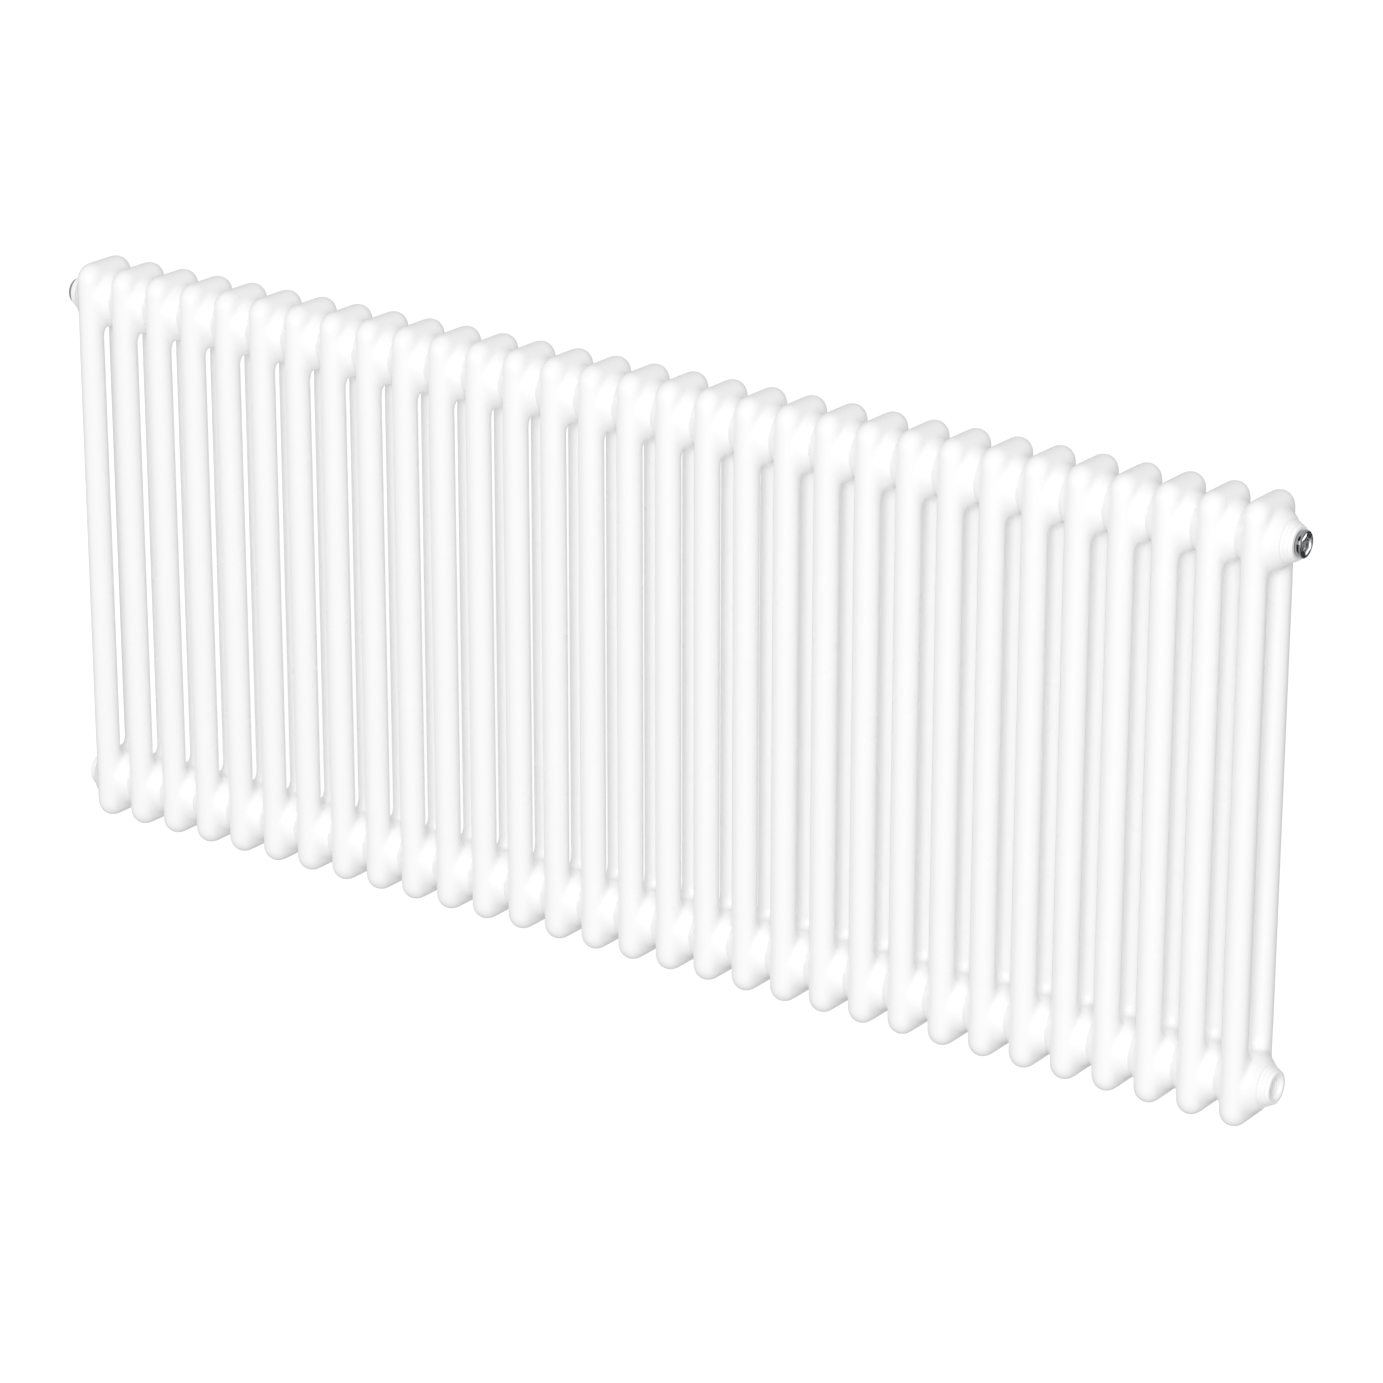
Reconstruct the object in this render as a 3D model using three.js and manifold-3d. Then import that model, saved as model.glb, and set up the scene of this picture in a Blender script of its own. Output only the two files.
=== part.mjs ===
// Two-column tubular steel radiator for wall hanging, as a three.js scene graph.
// Millimetres, +Z up. X runs along the radiator and the room side faces -Y.
// The origin is under the middle of the radiator, on the level of its lowest points.

import * as THREE from 'three';
import { mergeVertices } from 'three/addons/utils/BufferGeometryUtils.js';
import Module from 'manifold-3d';

const wasm = await Module();
wasm.setup();

// ---- driving dimensions -------------------------------------------------------------

const SECTION_COUNT = 31;
const PITCH = 45;                 // from one section to the next
const HEIGHT = 600;
const TUBE_RADIUS = 12.5;
const COLUMN_SPACING = 45;        // front tube axis to rear tube axis
const WALL = 1.5;                 // tube wall
const HEAD_CORNER_RADIUS = 17.5;  // outside corner of a head, seen from the end
const HEAD_HEIGHT = 67;           // from a head's outside to where the tubes leave it
const HUB_INSET = 39;             // hub axis from the top, and from the bottom
const CHEEK_RADIUS = 27.5;        // hub dome where it rises from the flat of a head
const JOIN_RADIUS = 21.5;         // hub dome where two sections meet
const WATERWAY_RADIUS = 17;       // opening from section to section
const GAP = 0.3;                  // left between pieces that touch

// Ports. Their X is measured outwards from the face of the boss.
const BOSS_LENGTH = 10;
const BOSS_STEPS = [19.5, 17.8, 16];
const SPIGOT_LENGTH = 6;          // the part of a bush inside the last hub
const THREAD_RADIUS = 9.3;        // half-inch pipe thread, at its crests
const MOUTH_RADIUS = 12.2;        // chamfer at the mouth of a port

// Vent and blanking plug, in the same X.
const SHANK_RADIUS = 9;
const SHANK_LENGTH = 12;
const SHANK_CHAMFER = 1;
const COLLAR_RADIUS = 12.9;
const COLLAR_FACE = 6;
const COLLAR_CHAMFER = 0.8;
const COLLAR_FLARE_END = 2.4;     // the collar widens from the boss face to here
const KEY_SOCKET_FLATS = 12;      // hexagon socket for the fitter's key
const KEY_SOCKET_FLOOR = 3;

// Inside the vent.
const SEAT_X = -9.5;              // small end of the valve seat, a 45 degree cone
const JET_RADIUS = 1.2;
const SPINDLE_BORE = 3.3;
const SEAL_BORE = 4.2;
const SEAL_BORE_X = -1.3;
const OUTLET_RADIUS = 0.8;        // air outlet, slanting from the bore to the collar's rim
const OUTLET_START = [-2.7, 0, -2];
const OUTLET_DIRECTION = [0.5, 0, -0.866];
const OUTLET_LENGTH = 14;

// Bleed spindle.
const THREAD_BODY = 3;
const TIP_RADIUS = 0.5;
const TIP_X = -9.7;
const GROOVE = { radius: 2, from: -0.45, to: 1.65 };
const FLANGE = { radius: 3.75, to: 2.6 };
const SQUARE = { flats: 5, to: 5.9 };

// Sides of the round shapes.
const TUBE_SIDES = 8;
const HUB_SIDES = 8;
const RING_SIDES = 20;
const SPINDLE_SIDES = 16;
const SEAL_SECTION_SIDES = 6;

// ---- what follows from them ---------------------------------------------------------

const halfPitch = PITCH / 2;
const columnY = COLUMN_SPACING / 2;
const joinX = halfPitch - GAP / 2;
const bossFaceX = (SECTION_COUNT - 1) / 2 * PITCH + halfPitch + BOSS_LENGTH;
const hubHeights = { bottom: HUB_INSET, top: HEIGHT - HUB_INSET };
const ends = { left: -1, right: 1 };

// ---- materials ----------------------------------------------------------------------

function material(name, color, roughness, metalness) {
  return new THREE.MeshStandardMaterial({ name, color, roughness, metalness });
}

const whitePaint = () => material('white_powder_coat', 0xf4f4f2, 0.3, 0);
const chrome = () => material('chrome_plate', 0xd5d8da, 0.12, 1);
const plainSteel = () => material('nickel_plated_steel', 0xb9b9b4, 0.3, 1);
const rubber = () => material('black_rubber', 0x1b1b1c, 0.7, 0);

// ---- solids -------------------------------------------------------------------------

// A closed geometry as a solid, with its faces turned outwards.
function solid(geometry) {
  const bare = new THREE.BufferGeometry();
  bare.setAttribute('position', geometry.getAttribute('position'));
  bare.setIndex(geometry.index);
  const merged = mergeVertices(bare, 1e-4);
  const position = merged.getAttribute('position');
  const corner = [0, 1, 2].map(() => new THREE.Vector3());
  const triangles = [];
  let volume = 0;
  for (let i = 0; i < merged.index.count; i += 3) {
    const triangle = [0, 1, 2].map((k) => merged.index.getX(i + k));
    if (new Set(triangle).size < 3) continue;
    triangles.push(triangle);
    corner.forEach((point, k) => point.fromBufferAttribute(position, triangle[k]));
    volume += corner[0].dot(corner[1].cross(corner[2]));
  }
  if (volume < 0) triangles.forEach((triangle) => triangle.reverse());
  return new wasm.Manifold(new wasm.Mesh({
    numProp: 3,
    vertProperties: Float32Array.from(position.array),
    triVerts: Uint32Array.from(triangles.flat()),
  }));
}

function geometryOf(body) {
  const mesh = body.getMesh();
  const geometry = new THREE.BufferGeometry();
  geometry.setAttribute('position', new THREE.BufferAttribute(mesh.vertProperties, 3));
  geometry.setIndex(new THREE.BufferAttribute(mesh.triVerts, 1));
  geometry.computeVertexNormals();
  return geometry;
}

function joined(bodies) {
  return bodies.reduce((whole, body) => whole.add(body));
}

// A profile of [radius, x] points turned about the X axis. It starts and ends on the axis.
function turned(profile, sideCount) {
  const points = profile.map(([radius, x]) => new THREE.Vector2(radius, x));
  return new THREE.LatheGeometry(points, sideCount).rotateZ(-Math.PI / 2);
}

// The same with flats facing Y and Z, at the distances that the profile gives.
function turnedWithFlats(profile, sideCount) {
  const halfSide = Math.PI / sideCount;
  const corners = profile.map(([radius, x]) => [radius / Math.cos(halfSide), x]);
  return turned(corners, sideCount).rotateX(halfSide);
}

// A ring: its profile is a closed loop clear of the axis.
function turnedRing(profile, sideCount) {
  return turned([...profile, profile[0]], sideCount);
}

// An upright prism with flats facing X and Y, at the given distance from its axis.
function uprightPrism(flatRadius, bottom, top) {
  const halfSide = Math.PI / TUBE_SIDES;
  const radius = flatRadius / Math.cos(halfSide);
  const prism = new THREE.CylinderGeometry(radius, radius, top - bottom, TUBE_SIDES);
  prism.rotateY(halfSide).rotateX(Math.PI / 2);
  return prism.translate(0, 0, (top + bottom) / 2);
}

// A hexagon or a square with its axis along X.
function prismAlongX(flats, sideCount, from, to) {
  const halfSide = Math.PI / sideCount;
  const radius = flats / 2 / Math.cos(halfSide);
  const prism = new THREE.CylinderGeometry(radius, radius, to - from, sideCount);
  prism.rotateY(halfSide).rotateZ(-Math.PI / 2);
  return prism.translate((from + to) / 2, 0, 0);
}

// ---- one section: two tubes welded into a top head and a bottom head -----------------

// A head seen from the end: round at its two outer corners, square where the tubes enter.
// Its edges are bevelled as the tubes' sides are, so that their faces run on into it.
function headGeometry() {
  const tubeFlat = TUBE_RADIUS * Math.tan(Math.PI / TUBE_SIDES);
  const tubeSlant = TUBE_RADIUS - tubeFlat;
  const halfDepth = columnY + TUBE_RADIUS;
  const r = HEAD_CORNER_RADIUS;
  const outline = new THREE.Shape();
  outline.moveTo(-halfDepth, 0);
  outline.lineTo(halfDepth, 0);
  outline.lineTo(halfDepth, HEAD_HEIGHT - r);
  outline.absarc(halfDepth - r, HEAD_HEIGHT - r, r, 0, Math.PI / 2);
  outline.absarc(-halfDepth + r, HEAD_HEIGHT - r, r, Math.PI / 2, Math.PI);
  outline.closePath();
  const head = new THREE.ExtrudeGeometry(outline, {
    depth: 2 * tubeFlat,
    curveSegments: 1,
    bevelThickness: tubeSlant,
    bevelSize: tubeSlant,
    bevelOffset: -tubeSlant,
    bevelSegments: 1,
  });
  return head.translate(0, 0, -tubeFlat).rotateX(Math.PI / 2).rotateZ(Math.PI / 2);
}

// The cone by which a head swells to meet the next section, on one side of it.
function domeGeometry(side) {
  return turnedWithFlats([
    [0, side * TUBE_RADIUS],
    [CHEEK_RADIUS, side * TUBE_RADIUS],
    [JOIN_RADIUS, side * joinX],
    [0, side * joinX],
  ], HUB_SIDES);
}

function sectionOutside() {
  const tubeEnd = HEAD_HEIGHT / 2;
  const bodies = [
    solid(headGeometry().translate(0, 0, HEIGHT - HEAD_HEIGHT)),
    solid(headGeometry().rotateX(Math.PI).translate(0, 0, HEAD_HEIGHT)),
  ];
  for (const y of [-columnY, columnY]) {
    bodies.push(solid(uprightPrism(TUBE_RADIUS, tubeEnd, HEIGHT - tubeEnd).translate(0, y, 0)));
  }
  for (const z of Object.values(hubHeights)) {
    bodies.push(solid(domeGeometry(-1).translate(0, 0, z)));
    bodies.push(solid(domeGeometry(1).translate(0, 0, z)));
  }
  return joined(bodies);
}

// The water space: a bore up each tube, and a passage through each hub.
function sectionWaterway() {
  const bodies = [];
  for (const y of [-columnY, columnY]) {
    const bore = uprightPrism(TUBE_RADIUS - WALL, hubHeights.bottom, hubHeights.top);
    bodies.push(solid(bore.translate(0, y, 0)));
  }
  for (const z of Object.values(hubHeights)) {
    const passage = turnedWithFlats([
      [0, -halfPitch],
      [WATERWAY_RADIUS, -halfPitch],
      [WATERWAY_RADIUS, halfPitch],
      [0, halfPitch],
    ], HUB_SIDES);
    bodies.push(solid(passage.translate(0, 0, z)));
  }
  return joined(bodies);
}

// ---- ports ---------------------------------------------------------------------------

// A threaded bush: a spigot in the last hub and a stepped boss outside it.
function portBushGeometry() {
  const shoulder = -BOSS_LENGTH + GAP / 2;
  const inner = shoulder - SPIGOT_LENGTH;
  const stepLength = -shoulder / BOSS_STEPS.length;
  const profile = [
    [MOUTH_RADIUS, 0],
    [THREAD_RADIUS, THREAD_RADIUS - MOUTH_RADIUS],
    [THREAD_RADIUS, inner],
    [WATERWAY_RADIUS - GAP, inner],
    [WATERWAY_RADIUS - GAP, shoulder],
  ];
  BOSS_STEPS.forEach((radius, i) => {
    profile.push([radius, shoulder + i * stepLength]);
    profile.push([radius, shoulder + (i + 1) * stepLength]);
  });
  return geometryOf(solid(turnedRing(profile, RING_SIDES)));
}

// ---- vent and blanking plug ----------------------------------------------------------

// The turned blank that the vent and the plug share, with its key socket cut.
function plugBlank() {
  const blank = turned([
    [0, COLLAR_FACE],
    [COLLAR_RADIUS - COLLAR_CHAMFER, COLLAR_FACE],
    [COLLAR_RADIUS, COLLAR_FACE - COLLAR_CHAMFER],
    [COLLAR_RADIUS, COLLAR_FLARE_END],
    [MOUTH_RADIUS, GAP],
    [SHANK_RADIUS, GAP],
    [SHANK_RADIUS, SHANK_CHAMFER - SHANK_LENGTH],
    [SHANK_RADIUS - SHANK_CHAMFER, -SHANK_LENGTH],
    [0, -SHANK_LENGTH],
  ], RING_SIDES);
  const socket = prismAlongX(KEY_SOCKET_FLATS, 6, KEY_SOCKET_FLOOR, COLLAR_FACE + 1);
  return solid(blank).subtract(solid(socket));
}

// The vent: the blank bored for its spindle, with an air outlet to the collar's rim.
function airVentGeometry() {
  const bore = turned([
    [0, -SHANK_LENGTH - 1],
    [JET_RADIUS, -SHANK_LENGTH - 1],
    [JET_RADIUS, SEAT_X],
    [SPINDLE_BORE, SEAT_X + SPINDLE_BORE - JET_RADIUS],
    [SPINDLE_BORE, SEAL_BORE_X],
    [SEAL_BORE, SEAL_BORE_X],
    [SEAL_BORE, KEY_SOCKET_FLOOR + 1],
    [0, KEY_SOCKET_FLOOR + 1],
  ], SPINDLE_SIDES);
  const direction = new THREE.Vector3(...OUTLET_DIRECTION).normalize();
  const turn = new THREE.Quaternion().setFromUnitVectors(new THREE.Vector3(0, 1, 0), direction);
  const outlet = new THREE.CylinderGeometry(OUTLET_RADIUS, OUTLET_RADIUS, OUTLET_LENGTH, 6);
  outlet.translate(0, OUTLET_LENGTH / 2, 0).applyQuaternion(turn).translate(...OUTLET_START);
  return geometryOf(plugBlank().subtract(solid(bore)).subtract(solid(outlet)));
}

// The needle that closes the vent: cone tip, thread, seal groove, flange and square end.
function bleedSpindleGeometry() {
  const stem = turned([
    [0, TIP_X],
    [TIP_RADIUS, TIP_X],
    [THREAD_BODY, TIP_X + THREAD_BODY - TIP_RADIUS],
    [THREAD_BODY, GROOVE.from],
    [GROOVE.radius, GROOVE.from],
    [GROOVE.radius, GROOVE.to],
    [FLANGE.radius, GROOVE.to],
    [FLANGE.radius, FLANGE.to],
    [0, FLANGE.to],
  ], SPINDLE_SIDES);
  const square = prismAlongX(SQUARE.flats, 4, GROOVE.to + GAP, SQUARE.to);
  return geometryOf(solid(stem).add(solid(square)));
}

function sealRingGeometry(meanRadius, x, sectionRadius, sideCount) {
  const profile = [];
  for (let i = 0; i < SEAL_SECTION_SIDES; i += 1) {
    const angle = 2 * Math.PI * i / SEAL_SECTION_SIDES;
    profile.push([meanRadius + sectionRadius * Math.cos(angle), x + sectionRadius * Math.sin(angle)]);
  }
  return geometryOf(solid(turnedRing(profile, sideCount)));
}

// The ring that nests in a port's mouth, between the chamfer, the shank and the collar.
function portSealGeometry() {
  const corner = MOUTH_RADIUS + GAP - SHANK_RADIUS;
  const nest = corner * (1 - Math.SQRT1_2);
  return sealRingGeometry(SHANK_RADIUS + nest, GAP - nest, nest - GAP, RING_SIDES);
}

// The ring in the spindle's groove, midway between the groove and the seal bore.
function spindleSealGeometry() {
  const meanRadius = (GROOVE.radius + SEAL_BORE) / 2;
  const sectionRadius = (GROOVE.to - GROOVE.from) / 2 - GAP;
  return sealRingGeometry(meanRadius, (GROOVE.from + GROOVE.to) / 2, sectionRadius, SPINDLE_SIDES);
}

// ---- assembly ------------------------------------------------------------------------

const radiator = new THREE.Group();

function place(parent, name, geometry, look) {
  const mesh = new THREE.Mesh(geometry, look);
  mesh.name = name;
  parent.add(mesh);
  return mesh;
}

// A port's own frame: its origin on the boss face, its X pointing out of the radiator.
function portFrame(end, level) {
  const frame = new THREE.Group();
  frame.position.set(ends[end] * bossFaceX, 0, hubHeights[level]);
  frame.rotation.z = ends[end] < 0 ? Math.PI : 0;
  radiator.add(frame);
  return frame;
}

const sectionGeometry = geometryOf(sectionOutside().subtract(sectionWaterway()));
for (let i = 0; i < SECTION_COUNT; i += 1) {
  const name = `section_${String(i + 1).padStart(2, '0')}`;
  const section = place(radiator, name, sectionGeometry, whitePaint());
  section.position.x = (i - (SECTION_COUNT - 1) / 2) * PITCH;
}

const bushGeometry = portBushGeometry();
const ports = {};
for (const level of Object.keys(hubHeights)) {
  for (const end of Object.keys(ends)) {
    const frame = portFrame(end, level);
    place(frame, `port_bush_${level}_${end}`, bushGeometry, whitePaint());
    ports[`${level}_${end}`] = frame;
  }
}

place(ports.top_right, 'air_vent_body', airVentGeometry(), chrome());
place(ports.top_right, 'air_vent_seal', portSealGeometry(), rubber());
place(ports.top_right, 'bleed_spindle', bleedSpindleGeometry(), plainSteel());
place(ports.top_right, 'bleed_spindle_seal', spindleSealGeometry(), rubber());

place(ports.top_left, 'blanking_plug', geometryOf(plugBlank()), chrome());
place(ports.top_left, 'blanking_plug_seal', portSealGeometry(), rubber());

export default radiator;
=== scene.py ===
"""The looks of a two-column steel tube radiator, built round its packed CAD frame.

Every piece is in metres and in the frame's own axes: +X along the radiator towards the
air vent, -Y into the room, +Z up. Sizes below are read from the frame or kept in the
property groups, where a user would change them.
"""

import math

import bmesh
import bpy
from bpy.props import (
    FloatProperty, FloatVectorProperty, IntProperty, PointerProperty, StringProperty,
)
from mathutils import Matrix, Vector


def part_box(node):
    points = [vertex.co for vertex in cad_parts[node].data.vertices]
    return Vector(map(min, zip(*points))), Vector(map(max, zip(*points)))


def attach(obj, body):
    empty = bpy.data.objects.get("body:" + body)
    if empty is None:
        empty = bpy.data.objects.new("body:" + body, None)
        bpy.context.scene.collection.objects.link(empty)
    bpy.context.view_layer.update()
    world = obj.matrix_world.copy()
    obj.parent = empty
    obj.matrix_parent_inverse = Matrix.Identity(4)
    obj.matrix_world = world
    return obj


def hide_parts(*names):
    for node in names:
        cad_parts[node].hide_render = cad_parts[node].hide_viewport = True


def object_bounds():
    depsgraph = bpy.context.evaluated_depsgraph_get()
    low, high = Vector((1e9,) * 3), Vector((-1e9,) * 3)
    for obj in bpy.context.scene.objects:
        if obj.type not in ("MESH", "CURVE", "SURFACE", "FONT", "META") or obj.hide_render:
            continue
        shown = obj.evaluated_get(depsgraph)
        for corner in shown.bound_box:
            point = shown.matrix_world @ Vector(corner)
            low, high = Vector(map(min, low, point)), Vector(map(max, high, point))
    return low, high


bl_info = {
    "name": "Two-Column Steel Radiator",
    "version": (1, 0, 0),
    "blender": (4, 5, 0),
    "location": "3D View > Sidebar > Radiator",
    "description": "Builds a column radiator: sections, ports, air vent, blanking plug and studio",
    "category": "Object",
}

MM = 0.001
GAP = 0.3 * MM  # room left between pieces that touch
MERGE_DISTANCE = 0.001 * MM

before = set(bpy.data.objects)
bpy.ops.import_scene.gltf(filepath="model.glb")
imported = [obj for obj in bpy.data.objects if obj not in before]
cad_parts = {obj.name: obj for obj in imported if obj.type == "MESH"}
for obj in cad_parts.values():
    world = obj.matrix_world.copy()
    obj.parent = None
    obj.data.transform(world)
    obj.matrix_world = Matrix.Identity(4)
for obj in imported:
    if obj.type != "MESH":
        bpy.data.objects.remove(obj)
CAD_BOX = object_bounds()

# What the frame says about where things are.
SECTION_NODES = sorted(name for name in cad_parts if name.startswith("section_"))
BUSH_NODES = sorted(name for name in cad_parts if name.startswith("port_bush_"))


def middle(node):
    """The middle of a CAD node's box."""
    low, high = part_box(node)
    return (low + high) / 2


RADIATOR_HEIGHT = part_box(SECTION_NODES[0])[1].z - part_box(SECTION_NODES[0])[0].z
RADIATOR_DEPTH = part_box(SECTION_NODES[0])[1].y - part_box(SECTION_NODES[0])[0].y
SECTION_PITCH = middle(SECTION_NODES[1]).x - middle(SECTION_NODES[0]).x
HUB_INSET = RADIATOR_HEIGHT - middle("port_bush_top_right").z
BOSS_FACE_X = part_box("port_bush_top_right")[1].x
TUBE_DIAMETER = 25 * MM

# The studio, in metres.
FLOOR_HALF_WIDTH = 60.0
CARD_DISTANCE = 1.4  # from the vent to the flags and lights that it mirrors


def length(name, description, default):
    """A size property in metres."""
    return FloatProperty(name=name, description=description, default=default, min=0.0,
                         precision=5, subtype="DISTANCE", unit="LENGTH")


def colour(name, description, default):
    """A colour property that holds an sRGB hex value, such as F4F4F2."""
    return StringProperty(name=name, description=description, default=default, maxlen=6)


# ---- sizes and colours a user would change ------------------------------------------


class SectionSizes(bpy.types.PropertyGroup):
    """The two tubes and two pressed heads of one section."""

    tube_diameter: length("Tube Diameter", "Outside diameter of a tube", TUBE_DIAMETER)
    column_spacing: length("Column Spacing", "From the front tube's axis to the rear tube's",
                           RADIATOR_DEPTH - TUBE_DIAMETER)
    corner_radius: length("Corner Radius", "Outer corner of a head, seen from the end", 17.5 * MM)
    arch_drop: length("Arch Drop", "From the hub axis down to where the arch springs", 38 * MM)
    web_depth: length("Web Depth", "From the hub axis down to the end of the flat", 10 * MM)
    dome_radius: length("Dome Radius", "Hub dome where it rises from the flat of a head", 29 * MM)
    join_radius: length("Join Radius", "Hub dome where two sections meet", 21.5 * MM)
    rounding_length: length("Rounding Length", "Below the arch, where the skin turns to round tube",
                            12 * MM)
    waterway_radius: length("Waterway Radius", "Opening from section to section", 17 * MM)
    voxel: length("Detail", "Grain of the blended skin of a head", 1.6 * MM)
    soften: IntProperty(name="Soften", description="Rounds of smoothing on a head's skin",
                        default=9, min=0, max=40)


class PortSizes(bpy.types.PropertyGroup):
    """The threaded bushes welded into the four end hubs."""

    outer_step: length("Outer Step", "Radius of the step next to the hub", 19.5 * MM)
    middle_step: length("Middle Step", "Radius of the middle step", 17.8 * MM)
    face_step: length("Face Step", "Radius of the step at the boss face", 16 * MM)
    boss_length: length("Boss Length", "From the hub to the boss face", 10 * MM)
    bush_length: length("Bush Length", "From the boss face to the bush's inner end", 15.8 * MM)
    spigot_radius: length("Spigot Radius", "Part of the bush inside the hub", 16.7 * MM)
    mouth_radius: length("Mouth Radius", "Wide end of the mouth's chamfer", 12.2 * MM)
    crest_radius: length("Thread Crest", "Half-inch pipe thread, at its crests", 9.3 * MM)
    root_radius: length("Thread Root", "Half-inch pipe thread, at its roots", 10.45 * MM)
    thread_pitch: length("Thread Pitch", "Fourteen threads to the inch", 1.814 * MM)


class VentSizes(bpy.types.PropertyGroup):
    """The air vent and the blanking plug, which share one turned blank."""

    collar_radius: length("Collar Radius", "Widest part of the collar", 12.9 * MM)
    collar_height: length("Collar Height", "From the boss face to the collar's face", 6 * MM)
    collar_flare: length("Collar Flare", "From the boss face to the collar's full width", 2.4 * MM)
    shank_radius: length("Shank Radius", "Threaded part inside the port", 9 * MM)
    shank_length: length("Shank Length", "From the boss face to the shank's inner end", 12 * MM)
    face_dish: length("Face Dish", "How far the collar's face falls towards the socket", 1.0 * MM)
    socket_flats: length("Socket Flats", "Across the flats of the key socket", 12 * MM)
    socket_floor: length("Socket Floor", "From the boss face to the socket's floor", 3 * MM)
    bore_radius: length("Seal Bore", "Bore round the spindle's seal", 4.2 * MM)
    square_flats: length("Spindle Square", "Across the flats of the spindle's end", 5 * MM)


class FinishColours(bpy.types.PropertyGroup):
    """Finishes, as sRGB hex values."""

    coat: colour("Powder Coat", "White of the powder coat", "F9F9F9")
    coat_thick: colour("Thick Powder Coat", "Where the coat has flowed thicker", "F7F7F7")
    # Both chrome colours are set darker than bright chrome plate: painted shade that darkens the
    # collar in place of dark reflections. The second also carries a random haze.
    chrome: colour("Chrome", "Polished chrome plate", "A2A5A8")
    chrome_haze_and_shade: colour("Hazed Chrome", "Chrome plate under a thin haze", "7C7F82")
    nickel: colour("Nickel", "Nickel plate on turned steel", "B9B7AF")
    rubber: colour("Rubber", "Sealing rubber", "1B1B1C")
    rubber_bloom: colour("Rubber Bloom", "Rubber under its grey bloom", "2C2C2D")
    floor: colour("Floor", "Studio floor", "F6F6F5")
    felt: colour("Felt", "Black felt on the studio flags", "101011")


class StageSettings(bpy.types.PropertyGroup):
    """Studio floor, lights and camera."""

    floor_drop: length("Floor Drop", "From the radiator's underside down to the floor", 150 * MM)
    floor_glow: FloatProperty(name="Floor Glow", description="Light given off by the floor",
                              default=0.5, min=0.0)
    light_above: FloatProperty(name="Light Above", description="Surrounding light from above",
                               default=0.51, min=0.0)
    light_below: FloatProperty(name="Light Below", description="Surrounding light from below",
                               default=0.35, min=0.0)
    light_behind: FloatProperty(name="Light Behind", min=0.0, default=0.85,
                                description="Light from behind, as a share of the light in front")
    key_power: FloatProperty(name="Front Light", description="Large soft light beside the camera",
                             default=1340.0, min=0.0, subtype="POWER", unit="POWER")
    back_power: FloatProperty(name="Back Light", description="Large soft light behind the radiator",
                              default=350.0, min=0.0, subtype="POWER", unit="POWER")
    glint_power: FloatProperty(name="Glint Light", description="Small lights on the chrome",
                               default=3.5, min=0.0, subtype="POWER", unit="POWER")
    picture_gamma: FloatProperty(name="Picture Gamma", description="Softens the picture's contrast",
                                 default=1.6, min=0.2, max=5.0)
    camera_place: FloatVectorProperty(
        name="Camera Place", description="Where the camera stands",
        default=(2.72858, -3.80627, 1.98317), subtype="TRANSLATION", unit="LENGTH")
    camera_turn: FloatVectorProperty(
        name="Camera Turn", description="Which way the camera looks",
        default=tuple(math.radians(degrees) for degrees in (69.9496, -0.0645, 35.0943)),
        subtype="EULER", unit="ROTATION")
    camera_lens: FloatProperty(name="Camera Lens", description="Focal length in millimetres",
                               default=134.0, min=1.0)


# ---- mesh helpers --------------------------------------------------------------------


def everything(bm):
    """All of a bmesh, as the operators take it."""
    return bm.verts[:] + bm.edges[:] + bm.faces[:]


def edges_among(edges, verts):
    """Those edges that have both ends among the verts."""
    return [edge for edge in edges if edge.verts[0] in verts and edge.verts[1] in verts]


def grown_rim(bm, edges):
    """Extrudes open edges. Gives the new verts and the new rim."""
    made = bmesh.ops.extrude_edge_only(bm, edges=edges)["geom"]
    verts = [item for item in made if isinstance(item, bmesh.types.BMVert)]
    rim = [item for item in made if isinstance(item, bmesh.types.BMEdge)]
    return verts, edges_among(rim, verts)


def closed(bm):
    """Merges seams and poles, fills open ends and turns every face outwards."""
    bmesh.ops.remove_doubles(bm, verts=bm.verts, dist=MERGE_DISTANCE)
    rims = [edge for edge in bm.edges if edge.is_boundary]
    bmesh.ops.holes_fill(bm, edges=rims, sides=0)
    bmesh.ops.recalc_face_normals(bm, faces=bm.faces)


def turned(bm, stations, sides, place=Matrix.Identity(4)):
    """Extrudes a ring along X through stations of (along, radius).

    A station of (along, half flats, flat sides) draws the ring out to that polygon, so one
    loft can pass from a round collar to a hexagon socket or from a stem to a square end.
    """
    ring = bmesh.ops.create_circle(bm, segments=sides, radius=1.0,
                                   matrix=Matrix.Rotation(math.pi / 2, 4, "Y"))["verts"]
    made = list(ring)
    edges = edges_among(bm.edges, ring)
    for index, (along, radius, *flat_sides) in enumerate(stations):
        if index:
            ring, edges = grown_rim(bm, edges)
            made += ring
        for vert in ring:
            angle = math.atan2(vert.co.z, vert.co.y)
            out = radius
            if flat_sides:
                step = 2 * math.pi / flat_sides[0]
                out = radius / math.cos((angle + step / 2) % step - step / 2)
            vert.co = (along, out * math.cos(angle), out * math.sin(angle))
    bmesh.ops.transform(bm, matrix=place, verts=made)


def rounded_edges(bm, radius, sharper_than=30, segments=3):
    """Rounds every edge sharper than the given angle."""
    sharp = [edge for edge in bm.edges
             if len(edge.link_faces) == 2 and edge.calc_face_angle() > math.radians(sharper_than)]
    bmesh.ops.bevel(bm, geom=sharp, offset=radius, offset_type="OFFSET", segments=segments,
                    profile=0.5, affect="EDGES", material=-1, clamp_overlap=True)


def cylinder(bm, radius, low, high, sides):
    """A closed cylinder between two points."""
    axis = high - low
    place = Matrix.Translation((low + high) / 2) @ axis.to_track_quat("Z", "Y").to_matrix().to_4x4()
    return bmesh.ops.create_cone(bm, cap_ends=True, segments=sides, radius1=radius, radius2=radius,
                                 depth=axis.length, matrix=place)["verts"]


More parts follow.
